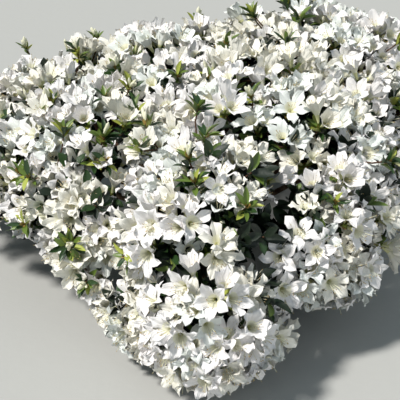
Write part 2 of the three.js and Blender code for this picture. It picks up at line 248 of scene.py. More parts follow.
def screenColour(red, green, blue):  # a colour as a screen shows it, 0 to 255, as the shader's linear one
    shares = [value / 255 for value in (red, green, blue)]
    linear = [share / 12.92 if share <= 0.04045 else ((share + 0.055) / 1.055) ** 2.4 for share in shares]
    return (*linear, 1.0)


def softFinish(name, colour, rough, grain, depth, shine=0.5, coat=0.0):
    # A plain base colour under a fine grain, which drives the roughness and a bump
    unevenness = 0.16  # of the roughness
    paint = Paint(name)
    cloud = paint.noise(paint.place(), grain, 3.0)
    return paint.finish(colour, rough - unevenness / 2 + unevenness * cloud, shine, cloud, 0.6, depth, coat)


# Meshes joined from arrays
class Pile:
    def __init__(self):
        self.points = []
        self.triangles = []
        self.kinds = []
        self.count = 0

    def add(self, points, triangles, kinds=None):
        self.points.append(points)
        self.triangles.append(triangles + self.count)
        self.kinds.append(np.zeros(len(triangles), int) if kinds is None else kinds)
        self.count += len(points)

    def joined(self):
        return np.concatenate(self.points), np.concatenate(self.triangles)


def makePiece(name, pile, materials):
    points, triangles = pile.joined()
    kinds = np.concatenate(pile.kinds)
    mesh = bpy.data.meshes.new(name)
    mesh.vertices.add(len(points))
    mesh.vertices.foreach_set("co", points.astype(np.float32).ravel())
    mesh.loops.add(3 * len(triangles))
    mesh.loops.foreach_set("vertex_index", triangles.astype(np.int32).ravel())
    mesh.polygons.add(len(triangles))
    mesh.polygons.foreach_set("loop_start", np.arange(0, 3 * len(triangles), 3, dtype=np.int32))
    for material in materials:
        mesh.materials.append(material)
    mesh.polygons.foreach_set("material_index", kinds.astype(np.int32))
    mesh.polygons.foreach_set("use_smooth", np.ones(len(triangles), bool))
    mesh.update()
    mesh.validate()
    piece = bpy.data.objects.new(name, mesh)
    bpy.context.scene.collection.objects.link(piece)
    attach(piece, "root")
    print(name + ":", len(triangles), "triangles")
    return piece


def scatter(pile, rows, shapes, triangles, kinds=None):
    # Adds copies of shapes, by rows of place, way, top, size and pick: +Z along the way, +Y towards the top
    places, ways, tops, picks = (np.array([row[k] for row in rows]) for k in (0, 1, 2, 4))
    sizes = np.array([np.broadcast_to(row[3], 3) for row in rows])
    along = unit(ways)
    over = sideways(along, tops)
    turns = np.stack([np.cross(over, along), over, along], axis=2)
    points = np.einsum("nij,nvj->nvi", turns, shapes[picks] * sizes[:, None, :]) + places[:, None]
    corners = triangles[None] + (np.arange(len(places)) * shapes.shape[1])[:, None, None]
    every = None if kinds is None else np.tile(kinds, len(rows))
    pile.add(points.reshape(-1, 3), corners.reshape(-1, 3), every)


def ringTriangles(rings, sides):  # between rings of points
    ring, corner = np.meshgrid(np.arange(rings - 1) * sides, np.arange(sides), indexing="ij")
    a = (ring + corner).ravel()
    b = (ring + (corner + 1) % sides).ravel()
    return np.concatenate([np.stack([a, b, b + sides], 1), np.stack([a, b + sides, a + sides], 1)])


def tube(line, radii, sides, relief=None, capped=False):
    aside = np.array([0.31, 0.87, 0.19])  # a way that no limb starts along
    ways = unit(np.gradient(line, axis=0))
    across = np.empty_like(line)
    across[0] = sideways(ways[0], aside)
    for step in range(1, len(line)):
        across[step] = sideways(ways[step], across[step - 1])
    over = np.cross(ways, across)
    angles = np.arange(sides) * full / sides
    shares = np.linspace(0, 1, len(line))
    thick = np.repeat(np.asarray(radii, float)[:, None], sides, axis=1)
    if relief is not None:
        thick = thick + relief(shares[:, None], angles[None])
    rim = across[:, None] * np.cos(angles)[None, :, None] + over[:, None] * np.sin(angles)[None, :, None]
    points = (line[:, None] + rim * thick[..., None]).reshape(-1, 3)
    triangles = ringTriangles(len(line), sides)
    if capped:
        ends = np.array([line[0], line[-1]])
        first, last = len(points), len(points) + 1
        k = np.arange(sides)
        foot = np.stack([np.full(sides, first), (k + 1) % sides, k], 1)
        base = (len(line) - 1) * sides
        head = np.stack([np.full(sides, last), base + k, base + (k + 1) % sides], 1)
        points = np.concatenate([points, ends])
        triangles = np.concatenate([triangles, foot, head])
    return points, triangles


def bezier(corners, count):  # evenly spaced points along it
    t = np.linspace(0, 1, 241)[:, None]
    a, b, c, d = corners
    line = a * (1 - t) ** 3 + 3 * b * t * (1 - t) ** 2 + 3 * c * t * t * (1 - t) + d * t ** 3
    reached = np.concatenate([[0], np.cumsum(np.linalg.norm(np.diff(line, axis=0), axis=1))])
    wanted = np.linspace(0, reached[-1], count)
    return np.stack([np.interp(wanted, reached, line[:, axis]) for axis in range(3)], axis=1)


# Camera, floor and light
stage = {
    "cameraPlace": (0.0, -1.880, 1.210),
    "cameraAim": (0.0, 0.069, 0.085),
    "focal": 103.05,  # mm, on a 36 mm wide sensor
    "floorSize": 60.0,
    "floorColour": screenColour(180, 180, 177),
    "sky": {"Color": (0.72, 0.89, 1.0, 1.0), "Strength": 0.30},
    "lights": {  # kind, place, aim and settings
        "sun": ("SUN", (-0.49, -0.24, 0.84), (0, 0, 0), {
            "energy": 4.0, "angle": math.radians(8), "color": (1.0, 0.975, 0.93),
        }),
        "fill": ("AREA", (1.7, -2.2, 1.9), (0, 0, 0.2), {
            "energy": 8.0, "size": 2.2, "color": (0.93, 0.96, 1.0),
        }),
    },
}


def addObject(name, data, place, aim):
    made = bpy.data.objects.new(name, data)
    made.location = place
    made.rotation_euler = (Vector(aim) - Vector(place)).to_track_quat("-Z", "Y").to_euler()
    bpy.context.scene.collection.objects.link(made)
    return made


def makeStage():
    scene = bpy.context.scene
    lens = bpy.data.cameras.new("camera")
    lens.sensor_width = 36.0
    lens.lens = stage["focal"]
    scene.camera = addObject("camera", lens, stage["cameraPlace"], stage["cameraAim"])

    for name, (kind, place, aim, settings) in stage["lights"].items():
        light = bpy.data.lights.new(name, kind)
        for setting, value in settings.items():
            setattr(light, setting, value)
        addObject(name, light, place, aim)

    bpy.ops.mesh.primitive_plane_add(size=stage["floorSize"])
    floor = bpy.context.object
    floor.name = "floor"
    floor.data.materials.append(softFinish("floorFinish", stage["floorColour"], 0.85, 40.0, 0.001, 0.2))

    scene.world = bpy.data.worlds.new("sky")
    scene.world.use_nodes = True
    for setting, value in stage["sky"].items():
        scene.world.node_tree.nodes["Background"].inputs[setting].default_value = value
    scene.view_settings.view_transform = "Standard"
    scene.view_settings.look = "None"


makeStage()
print("stage made")


# Stem and boughs: the solids' own lines and radii, under a skin with the bark's relief
limbs = {
    "stemHeight": 0.088,
    "stemLean": (0.009, -0.006),
    "stemRise": (0.33, 0.7),  # where its bend lies, as shares of its height
    "stemRadii": (0.024, 0.017),
    "rootFlare": 0.013,
    "rootHollow": 0.5,  # flare between the ridges, as a share
    "rootFlareHeight": 0.026,
    "rootRidges": 5,
    "boughRadii": {"top": (0.011, 0.0055), "upper": (0.0095, 0.0052), "lower": (0.007, 0.0046)},
    "topFork": 0.93,  # shares of the way along the limb below
    "upperForks": (0.55, 0.65, 0.75, 0.85),
    "lowerForks": (0.24, 0.44, 0.64),
    "upperSpread": 0.75,
    "lowerRise": 0.12,
    "spring": 0.42,  # how long a bough keeps its first way, as a share
    "landing": 0.36,  # and its last
    "stemShown": 0.014,  # between a bough's tip and the core
    "entryRoom": 0.008,  # between it and the walls of the mass
    "stemSides": 56,
    "stemSteps": 70,
    "boughSides": 14,
    "boughSteps": 52,
    "fissures": 0.0011,  # depth of the bark's furrows on the stem
    "boughFissures": 0.45,  # on the boughs, as a share of that
    "stemFurrows": 15,
    "boughFurrows": 9,
    "wander": 2.2,  # of the furrows round the limb
}


def furrows(depth, count, seed):
    # Relief of long, wandering furrows round a limb
    random = np.random.default_rng(seed)
    waves = [(random.integers(2, 5), random.uniform(0, full), random.uniform(8, 26)) for _ in range(4)]

    def relief(share, angle):
        wander = sum(np.sin(turns * angle + phase + speed * share) for turns, phase, speed in waves) / 4
        ridges = np.abs(np.sin(count * angle / 2 + limbs["wander"] * wander))
        knots = np.sin(37 * share + 3 * angle + 2 * wander) * np.sin(23 * share - 2 * angle)
        return depth * (ridges ** 0.6 - 0.75 + 0.35 * knots)

    return relief


def makeLimbs():
    pile = Pile()
    lean = np.array([*limbs["stemLean"], 0.0])
    tall = limbs["stemHeight"]
    firstRise, secondRise = limbs["stemRise"]
    stemCorners = [np.zeros(3), up * tall * firstRise, lean + up * tall * secondRise, lean + up * tall]
    stemLine = bezier(stemCorners, limbs["stemSteps"])
    stemRadii = np.linspace(*limbs["stemRadii"], limbs["stemSteps"])
    bark = furrows(limbs["fissures"], limbs["stemFurrows"], 5)

    def stemRelief(share, angle):
        flare = limbs["rootFlare"] * np.exp(-share * tall / limbs["rootFlareHeight"])
        ridge = between(limbs["rootHollow"], 1, 0.5 + 0.5 * np.cos(limbs["rootRidges"] * angle))
        return flare * ridge + bark(share, angle)

    points, triangles = tube(stemLine, stemRadii, limbs["stemSides"], stemRelief, True)
    points[:, 2] = np.maximum(points[:, 2], 0)
    pile.add(points, triangles)

    fork = lean + up * tall * limbs["upperForks"][-1]
    uppers = []
    turn = 0
    for index, mass in enumerate(masses):
        outward = levelWay(mass["bearing"])
        if mass["ring"] == "lower":
            gaps = [math.acos(math.cos(upper["bearing"] - mass["bearing"])) for upper in uppers]
            parent = uppers[int(np.argmin(gaps))]
            share = limbs["lowerForks"][parent["taken"]]
            parent["taken"] += 1
            line = parent["line"]
            firstWay = unit(outward + up * limbs["lowerRise"])
        else:
            share = limbs["topFork"] if mass["ring"] == "top" else limbs["upperForks"][turn % 4]
            turn += 1
            line = stemLine
            firstWay = up if mass["ring"] == "top" else unit(outward * limbs["upperSpread"] + up)
        foot = line[round(share * (len(line) - 1))]
        way = unit(mass["middle"] - fork)
        out = min(coreReach(mass, -way) + limbs["stemShown"], wallReach(mass, -way) - limbs["entryRoom"])
        tip = mass["middle"] - way * out
        length = np.linalg.norm(tip - foot)
        sprung = foot + firstWay * limbs["spring"] * length
        boughLine = bezier([foot, sprung, tip - way * limbs["landing"] * length, tip], limbs["boughSteps"])
        radii = np.linspace(*limbs["boughRadii"][mass["ring"]], limbs["boughSteps"])
        skin = furrows(limbs["fissures"] * limbs["boughFissures"], limbs["boughFurrows"], 20 + index)
        pile.add(*tube(boughLine, radii, limbs["boughSides"], skin, True))
        mass.update({"entry": tip, "way": way, "entryRadius": radii[-1]})
        if mass["ring"] == "upper":
            uppers.append({"bearing": mass["bearing"], "line": boughLine, "taken": 0})
    return pile


def barkFinish():
    paint = Paint("barkFinish")
    mapping = {"Vector": paint.place(), "Scale": (1.0, 1.0, 0.3)}
    stretched = paint.node("ShaderNodeMapping", {}, mapping, "Vector")
    coarse = paint.noise(stretched, 90.0, 6.0)
    fine = paint.noise(stretched, 520.0, 4.0)
    stops = [
        (0.30, screenColour(52, 38, 28)),
        (0.50, screenColour(92, 73, 56)),
        (0.72, screenColour(139, 121, 100)),
    ]
    colour = paint.node("ShaderNodeValToRGB", {"stops": stops}, {"Fac": 0.6 * coarse + 0.4 * fine}, "Color")
    return paint.finish(colour, 0.78 + 0.18 * fine, 0.3, 0.7 * coarse + 0.3 * fine, 0.8, 0.0012)


barkPiece = makePiece("barkedStemAndBoughs", makeLimbs(), [barkFinish()])
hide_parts(*limbNodes)


# Trusses of flowers over the crown
trusses = {
    "seed": 11,
    "blossomSeed": 41,
    "tries": 60000,
    "spacing": 0.0415,  # least distance between neighbours
    "depth": 0.045,  # from the blossom's surface to the bud that the flowers grow from
    "sink": 0.008,  # how far that surface lies under the crown's
    "billow": 0.012,  # how far the middle of each mass stands out
    "billowReach": 0.22,  # from there to where the crown sinks in as far
    "lumps": [(0.008, 0.150), (0.005, 0.075)],  # height and width of two sizes of unevenness over the crown
    "lumpSink": 0.005,
    "raised": 0.018,  # how far some stand above the others
    "raisedRarity": 2,
    "sunken": 0.014,  # and below
    "sunkenRarity": 1.5,
    "collaredShare": 0.11,  # of the trusses, which stand out and show a collar of leaves
    "collaredLifts": (0.014, 0.027),
    "rise": 0.2,  # how much a truss leans up, away from the middle of its mass, and at random
    "spread": 0.5,
    "waver": 0.16,
    "flowerCounts": (1, 2, 3, 4),
    "flowerShares": (0.04, 0.22, 0.46, 0.28),
    "tilt": (0.38, 0.70),  # of each flower away from its truss, in radians
    "loneTilt": 0.45,  # of a flower that is alone in it, as a share of that
    "turnStray": 0.3,
    "budShare": 0.10,  # of the flowers, which are still a few buds
    "hollows": [  # bearing, latitude and radius of gaps where leaves and dark show
        (-78, 38, 0.056), (-71, 37, 0.056), (-74.5, 31.5, 0.058), (-65, 37, 0.040), (-60, 41, 0.036),
        (-71, 54, 0.034), (-70, 13, 0.038), (-9, 32, 0.042), (-63, -8, 0.050), (-38, 20, 0.040),
        (-128, 36, 0.030), (-152, 22, 0.032), (-100, 30, 0.028), (-83, 40, 0.034), (-80.5, 33, 0.036),
    ],
    "moreHollows": 16,  # elsewhere
    "hollowBearings": (-20, 230),
    "hollowSines": (-0.3, 0.75),  # of their latitudes
    "hollowRadii": (0.022, 0.042),
    "clearance": 0.005,  # from the lowest petal to the ground
    "outstanding": [  # bearing, latitude and how far out some stand, at the back and low at the front
        (134, 42, 0.034), (131, 45, 0.020), (116, 44, 0.036), (113, 47, 0.022), (124, 44, 0.016),
        (96, 50, 0.022), (60, 52, 0.020), (30, 50, 0.020),
        (-46, -14, 0.034), (-43, -8, 0.026), (-51, -17, 0.020), (-40, -16, 0.014), (-48, -5, 0.014),
        (-118, -16, 0.010), (-113, -20, 0.010), (-108, -24, 0.008), (-123, -8, 0.008), (-128, -2, 0.006),
        (-112, -12, 0.004), (-118, -5, 0.004),
        (-78, -12, 0.010), (-74, -10, 0.010), (-82, -16, 0.008), (-70, -8, 0.008), (-76, -20, 0.012),
        (-80, -24, 0.008), (-85, -22, 0.006),
    ],
}


def lumpAt(points):
    # Slow waves through space, which push the blossom out and in
    height = -trusses["lumpSink"]
    for rise, width in trusses["lumps"]:
        x, y, z = (points[..., axis] * full / width for axis in range(3))
        height = height + 0.5 * rise * np.sin(1.1 * z + 0.7 * x)
        wave = np.sin(x + 1.7 * np.sin(0.6 * y + 0.9))
        height = height + rise * wave * np.cos(0.9 * y - 1.3 * np.sin(0.5 * x))
    return height


def placeTrusses():
    random = np.random.default_rng(trusses["seed"])
    hollows = [(*np.radians(degrees), radius) for *degrees, radius in trusses["hollows"]]
    for _ in range(trusses["moreHollows"]):
        bearing = random.uniform(*np.radians(trusses["hollowBearings"]))
        latitude = math.asin(random.uniform(*trusses["hollowSines"]))
        hollows.append((bearing, latitude, random.uniform(*trusses["hollowRadii"])))
    hollowPlaces = np.array([crownPoint(bearing, latitude) for bearing, latitude, radius in hollows])
    hollowRadii = np.array([radius for *spot, radius in hollows])

    bearings = random.uniform(0, full, trusses["tries"])
    latitudes = np.arcsin(random.uniform(crown["lowestSine"], 1, trusses["tries"]))
    points = crownPoint(bearings, latitudes)
    normals = crownNormal(bearings, latitudes)
    lowest = roundCrown("lowest", bearings)
    owners = ownerOf(points)
    found = []
    kept = np.empty((0, 3))

    def addTruss(point, normal, owner, lift, kind="truss"):
        spread = unit(point - masses[owner]["middle"]) * trusses["spread"]
        facing = unit(normal + up * trusses["rise"] + spread + random.normal(0, trusses["waver"], 3))
        eye = point + facing * (lift - trusses["sink"] - trusses["depth"])
        found.append({"owner": owner, "place": eye, "way": facing, "kind": kind})

    for index, point in enumerate(points):
        near = np.sum((kept - point) ** 2, axis=1) < trusses["spacing"] ** 2
        if point[2] < lowest[index] or np.any(near):
            continue
        if np.any(np.linalg.norm(hollowPlaces - point, axis=1) < hollowRadii):
            continue
        kept = np.append(kept, point[None], axis=0)
        away = min(np.linalg.norm(point - masses[owners[index]]["spot"]) / trusses["billowReach"], 1)
        lift = trusses["billow"] * math.cos(math.pi * away) + lumpAt(point)
        lift += trusses["raised"] * random.uniform() ** trusses["raisedRarity"]
        lift -= trusses["sunken"] * random.uniform() ** trusses["sunkenRarity"]
        collared = random.uniform() < trusses["collaredShare"]
        if collared:
            lift = random.uniform(*trusses["collaredLifts"])
        addTruss(point, normals[index], owners[index], lift, "collar" if collared else "truss")
    for *degrees, lift in trusses["outstanding"]:
        bearing, latitude = np.radians(degrees)
        point = crownPoint(bearing, latitude)
        addTruss(point, crownNormal(bearing, latitude), ownerOf(point[None])[0], lift)
    print("trusses:", len(found))
    return found, hollowPlaces


trussList, hollowPlaces = placeTrusses()


# Tips without flowers: leafy sprays that stand among the blossom, a few leaders above it, leaves in the
# hollows, and the leaves inside, mostly in a near-black finish that is painted shade
shoots = {
    "seed": 53,
    "sprays": [  # bearing and latitude of those that the front shows
        (-135, 52.5), (-93.5, 60), (-87.5, 70), (-51.5, 73), (-77.7, 44), (-145.7, 5.8), (-109, 24),
        (-51.7, 27), (-175, 60), (-167, 77), (-118, 57), (26, 76), (67, 80), (165, 77),
        (-176, 86.5), (-133, -4),
    ],
    "moreSprays": 36,
    "spraySines": (-0.2, 0.98),  # of their latitudes
    "lowestRoom": 0.012,  # above the blossom's lower edge
    "lowestTip": 0.03,  # height
    "outward": 0.06,  # how much a tip's way follows the crown's own slope
    "rise": 0.2,  # and leans up
    "strays": {"listed": 0.2, "spray": 0.25, "leader": 0.25, "hollow": 0.3, "deep": 0.4},  # of the ways
    "sprayDepths": (-0.012, 0.010),  # under the blossom's surface
    "leaders": [(128, 43), (142, 40), (92, 50), (60, 48), (20, 46)],
    "leaderRises": (0.008, 0.020),  # above it
    "hollowTips": 13,  # in each hollow
    "hollowDepths": (0.045, 0.180),  # under the crown's surface
    "hollowStray": 0.025,
    "deepCount": 84,  # in each mass
    "deepDepths": (0.042, 0.150),
    "twigRadius": 0.0015,  # of a twig with one tip
    "twigGrowth": 0.36,  # how its radius grows with the number of tips beyond it
    "forkShares": (0.24, 0.42),  # where a twig forks, on the way to the middle of its tips
    "halves": (0.36, 0.64),  # how its tips are shared out
    "fewTips": 6,  # below which they are halved
    "taper": 0.8,  # of a twig with several tips, as a share of their number
    "heartDepth": 0.03,  # from a bough's tip to the first fork
    "landing": 0.4,  # how long a twig keeps its last way, as a share
    "bend": 0.07,
    "sides": 5,
    "steps": 4,
}


def placeTips():
    random = np.random.default_rng(shoots["seed"])
    tips = list(trussList)

    def addTip(kind, place, way, stray):
        if place[2] > shoots["lowestTip"]:
            way = unit(way + random.normal(0, shoots["strays"][stray], 3))
            tips.append({"place": place, "way": way, "kind": kind})

    def addAt(kind, bearing, latitude, depth, stray=None):
        point, normal = crownPoint(bearing, latitude), crownNormal(bearing, latitude)
        if point[2] >= roundCrown("lowest", bearing) + shoots["lowestRoom"]:
            away = unit(point - middles[ownerOf(point[None])[0]] + normal * shoots["outward"])
            addTip(kind, point - away * depth, away + up * shoots["rise"], stray or kind)

    for bearing, latitude in np.radians(shoots["sprays"]):
        addAt("spray", bearing, latitude, random.uniform(*shoots["sprayDepths"]), "listed")
    for _ in range(shoots["moreSprays"]):
        latitude = math.asin(random.uniform(*shoots["spraySines"]))
        addAt("spray", random.uniform(0, full), latitude, random.uniform(*shoots["sprayDepths"]))
    for bearing, latitude in np.radians(shoots["leaders"]):
        addAt("leader", bearing, latitude, -random.uniform(*shoots["leaderRises"]))
    for spot in hollowPlaces:
        away = unit(spot - middles[ownerOf(spot[None])[0]])
        for _ in range(shoots["hollowTips"]):
            place = spot - away * random.uniform(*shoots["hollowDepths"])
            addTip("hollow", place + random.normal(0, shoots["hollowStray"], 3), away, "hollow")
    for _ in range(shoots["deepCount"] * len(masses)):
        latitude = math.asin(random.uniform(crown["lowestSine"], 1))
        addAt("deep", random.uniform(0, full), latitude, random.uniform(*shoots["deepDepths"]))
    owners = ownerOf(np.array([tip["place"] for tip in tips]))
    for tip, owner in zip(tips, owners):
        tip.setdefault("owner", owner)
    return tips


tipList = placeTips()


# One flower: a funnel of five pointed, wavy petals, with specks in its upper petal, stamens and a style
flower = {
    "seed": 23,
    "kinds": 18,  # from the most closed to the most open
    "tube": [(0.0016, 0.0080), (0.0038, 0.0215)],  # radius and height, from the foot of the tube
    "mouth": (0.0106, 0.0300),
    "closedMouth": 0.3,  # its radius in a closed flower, as a share
    "lobe": [(0.0148, 0.0336), (0.0192, 0.0366), (0.0236, 0.0388), (0.0280, 0.0399), (0.0330, 0.0396)],
    "halfWidths": [0.0087, 0.0089, 0.0073, 0.0041, 0.0],
    "across": 7,  # points across a petal
    "crease": 0.0012,  # depth of the fold along the middle of a petal
    "wave": 0.0032,  # height of the waves along its edges
    "wavePaces": (5, 10),  # radians of them from its foot to its tip
    "cups": (-0.30, 0.42),  # how far its edges rise
    "twists": (-0.32, 0.32),
    "droops": (-0.001, 0.007),  # of its tip
    "tubeShare": 0.35,  # of its length
    "petalLengths": (0.92, 1.08),
    "openness": (0.42, 1.04),
    "closedRarity": 0.6,
    "closedRise": 0.034,  # how much higher the tips of a closed flower are
    "upright": 0.72,  # rise of a truss's way from which on its flowers may be half closed
    "rim": (0.032, 0.038),  # reach and height that keep it clear of the ground
    "sizes": (0.95, 1.15),
    "topWaver": 0.35,
    "specks": 6,
    "speckSize": (0.0008, 0.00042),
    "speckLift": 0.0004,  # over the petal
    "stamens": 5,
    "stamenHeights": (0.038, 0.046),
    "stamenReaches": (0.004, 0.010),
    "stamenFoot": (0.25, 0.020),  # share of that, and height, at which they leave the tube
    "stamenStray": 0.2,
    "threadRadii": [0.00055, 0.00040],
    "antherSize": (0.0013, 0.0008),
    "antherWaver": 0.006,
    "styleHeight": 0.052,
    "styleTip": (0.0008, 0.0008),
    "stalk": [(-0.006, 0.0010), (0.0085, 0.0019)],  # height and radius at its ends
    "sepal": [(0.0016, 0.004), (0.0040, 0.0095)],  # reach and height at its foot and its tip
    "sepalHalfWidth": 0.0012,
}


def petalPoints(random, angle, openness, droop):
    # Three points across at each ring of the tube, more from its mouth on, and one at the tip. The second
    # array holds each point's place on its petal: from -1 to 1 across, and from 0 to 1 along.
    out = levelWay(angle)
    side = np.cross(up, out)
    points, places = [], []
    mouthRadius, mouthHeight = flower["mouth"]
    wide = flower["across"]
    rings = [(*ring, 3) for ring in flower["tube"]]
    rings.append((mouthRadius * between(flower["closedMouth"], 1, openness), mouthHeight, wide))
    for index, (radius, height, count) in enumerate(rings):
        angles = angle + np.linspace(-1, 1, count) * full / 10
        x, y = radius * np.cos(angles), radius * np.sin(angles)
        points.append(np.stack([x, y, np.full(count, height)], 1))
        along = flower["tubeShare"] * (index + 1) / len(rings)
        places.append(np.stack([np.linspace(-1, 1, count), np.full(count, along), np.zeros(count)], 1))
    length, cup, twist = (random.uniform(*flower[name]) for name in ("petalLengths", "cups", "twists"))
    phases = random.uniform(0, full, 2)
    pace = random.uniform(*flower["wavePaces"])
    across = np.linspace(-1, 1, wide)
    sides = np.abs(across) ** 1.5
    crease = flower["crease"] * (0.5 - 1.5 * np.exp(-(across / 0.30) ** 2)) * (1 - across ** 4)
    for index, ((radius, height), half) in enumerate(zip(flower["lobe"], flower["halfWidths"])):
        free = (index + 1) / len(flower["lobe"])
        along = between(flower["tubeShare"], 1, free)
        radius = rings[-1][0] + (radius - mouthRadius) * length * openness
        height = height + (1 - openness) * flower["closedRise"] * free - droop * free ** 2
        if half == 0:
            points.append((out * radius + up * height)[None])
            places.append(np.array([[0.0, along, 0.0]]))
            continue
        waves = np.where(across < 0, *np.sin(phases + pace * free))
        width = half * across
        height = height + flower["wave"] * waves * sides + crease
        height = height + cup * half * across ** 2 + twist * width * free
        points.append(out * radius + side * width[:, None] + up * height[:, None])
        places.append(np.stack([across, np.full(wide, along), np.zeros(wide)], 1))
    return np.concatenate(points), np.concatenate(places)


def petalTriangles():
    wide, mouth, rows = flower["across"], 3 * len(flower["tube"]), len(flower["lobe"])
    middle = mouth + wide // 2
    triangles = [(0, 4, 1), (0, 3, 4), (1, 5, 2), (1, 4, 5)]  # the tube
    triangles += [(3, k, k + 1) for k in range(mouth, middle)]  # out to the mouth
    triangles += [(3, middle, 4), (4, middle, 5)]
    triangles += [(5, k, k + 1) for k in range(middle, mouth + wide - 1)]
    kinds = [1] * 4 + [2] * (len(triangles) - 4)
    for row in range(rows - 1):
        for a in range(mouth + wide * row, mouth + wide * row + wide - 1):
            triangles += [(a, a + wide, a + wide + 1), (a, a + wide + 1, a + 1)]
    last = mouth + wide * (rows - 1)
    triangles += [(k, last + wide, k + 1) for k in range(last, last + wide - 1)]
    return np.array(triangles), np.array(kinds + [0] * (len(triangles) - len(kinds)))


def tetrahedron(middle, way, long, wide):
    across = sideways(way, np.array([0.3, 0.9, 0.2])) * wide
    over, ahead = np.cross(way, across), way * long
    corners = np.array([ahead + across, ahead - across, over - ahead, -over - ahead])
    return middle + corners, np.array([(0, 1, 2), (1, 0, 3), (2, 3, 0), (3, 2, 1)])


def addSpecks(pile, random, petal):  # to the two lowest rows of a petal's free part
    wide, (long, broad) = flower["across"], flower["speckSize"]
    for _ in range(flower["specks"]):
        row, column = random.integers(0, 2), random.integers(1, wide - 2)
        a = 3 * len(flower["tube"]) + wide * row + column
        low = between(petal[a], petal[a + 1], random.uniform())
        high = between(petal[a + wide], petal[a + wide + 1], random.uniform())
        spot = between(low, high, random.uniform()) + up * flower["speckLift"]
        way = unit(high - low)
        side = np.cross(way, up) * broad
        points = np.array([spot - way * long, spot + side, spot + way * long, spot - side])
        pile.add(points, np.array([(0, 1, 2), (0, 2, 3)]))


def addStamens(threads, anthers, random):  # in the lower half of the flower, the style last
    count = flower["stamens"] + 1
    footReach, footHeight = flower["stamenFoot"]
    for index in range(count):
        isStyle = index == count - 1
        angle = full * (0.5 + 0.5 * (index + 0.5) / count)
        angle += random.uniform(-flower["stamenStray"], flower["stamenStray"])
        reach = random.uniform(*flower["stamenReaches"])
        height = flower["styleHeight"] if isStyle else random.uniform(*flower["stamenHeights"])
        out = levelWay(angle) * reach * (1, 0.9, 0)
        tip = out + up * height
        foot = out * footReach + up * footHeight
        threads.add(*tube(np.array([foot, tip]), flower["threadRadii"], 3))
        way = unit(tip - foot + random.normal(0, flower["antherWaver"], 3))
        anthers.add(*tetrahedron(tip, way, *flower["styleTip" if isStyle else "antherSize"]))


def addStalk(pile):
    line = np.array([up * height for height, radius in flower["stalk"]])
    pile.add(*tube(line, [radius for height, radius in flower["stalk"]], 5))
    for sepal in range(5):
        out = levelWay(full * (sepal + 0.5) / 5)
        side = np.cross(up, out) * flower["sepalHalfWidth"]
        foot, tip = (out * reach + up * height for reach, height in flower["sepal"])
        pile.add(np.array([foot - side, foot + side, tip]), np.array([(0, 1, 2)]))


def makeFlowerShapes():
    # For each part of a flower, the points of every kind and the triangles that they share
    random = np.random.default_rng(flower["seed"])
    shapes = {name: [] for name in ("petals", "specks", "threads", "anthers", "stalk")}
    triangles = {}
    onePetal, petalKinds = petalTriangles()
    for kind in range(flower["kinds"]):
        openness = between(*flower["openness"], ((kind + 0.5) / flower["kinds"]) ** flower["closedRarity"])
        droop = random.uniform(*flower["droops"])
        made = [petalPoints(random, full * (0.25 + petal / 5), openness, droop) for petal in range(5)]
        piles = {name: Pile() for name in shapes}
        for points, places in made:
            piles["petals"].add(points, onePetal)
        addSpecks(piles["specks"], random, made[0][0])
        addStamens(piles["threads"], piles["anthers"], random)
        addStalk(piles["stalk"])
        for name, pile in piles.items():
            points, triangles[name] = pile.joined()
            shapes[name].append(points)
    kinds = {"petals": np.tile(petalKinds, 5)}
    petalPlaces = np.concatenate([places for points, places in made])
    return {name: (np.array(shapes[name]), triangles[name], kinds.get(name)) for name in shapes}, petalPlaces


bud = {
    "seed": 37,
    "kinds": 4,
    "rings": [  # height and radius
        (0.0, 0.0012), (0.005, 0.0020), (0.011, 0.0034), (0.018, 0.0046), (0.024, 0.0036), (0.0285, 0.0014),
    ],
    "tip": 0.0300,
    "sides": 10,
    "ridge": 0.13,
    "twist": 55.0,  # radians in each metre
    "twistShares": (0.6, 1.3),
    "bends": (-2.5, 2.5),
    "sizes": (0.5, 0.9),
    "trussCounts": (1, 4),  # in place of a flower
    "trussLeans": (0.05, 0.5),
    "trussLifts": (0.004, 0.016),
    "sprayShare": 0.5,  # of the sprays and leaders, which carry some
    "sprayCounts": (2, 6),
    "sprayLeans": (0.05, 0.45),
    "sprayLifts": (0.000, 0.004),
}


def makeBudShapes():
    random = np.random.default_rng(bud["seed"])
    shapes, rings, sides = [], len(bud["rings"]), bud["sides"]
    corners = np.arange(sides)
    angles = corners * full / sides
    for _ in range(bud["kinds"]):
        twist = bud["twist"] * random.uniform(*bud["twistShares"])
        bend = random.uniform(*bud["bends"])
        points = []
        for height, radius in bud["rings"]:
            thick = radius * (1 + bud["ridge"] * np.cos(5 * angles))
            turned = angles + twist * height
            x = thick * np.cos(turned) + bend * height ** 2
            points.append(np.stack([x, thick * np.sin(turned), np.full(sides, height)], 1))
        points.append(np.array([[bend * bud["tip"] ** 2, 0.0, bud["tip"]]]))
        shapes.append(np.concatenate(points))
    last = (rings - 1) * sides
    cap = np.stack([last + corners, last + (corners + 1) % sides, np.full(sides, last + sides)], 1)
    triangles = np.concatenate([ringTriangles(rings, sides), cap])
    kinds = (triangles.min(axis=1) < sides).astype(int)  # green at the foot
    return np.array(shapes), triangles, kinds


veining = {
    "count": 17.0,  # radians of the wave across half a petal
    "wander": 5.0,
    "veinShare": 0.35,
    "grooveSharpness": 40.0,
    "grainShare": 0.5,
    "grain": 300.0,
    "strength": 0.8,
    "depth": 0.0008,
}
tints = {  # petal colour, and the share of the trusses that have it
    "petalsWhite": (screenColour(244, 241, 240), 0.42),
    "petalsIvory": (screenColour(243, 240, 230), 0.34),
    "petalsFresh": (screenColour(236, 239, 235), 0.24),
}


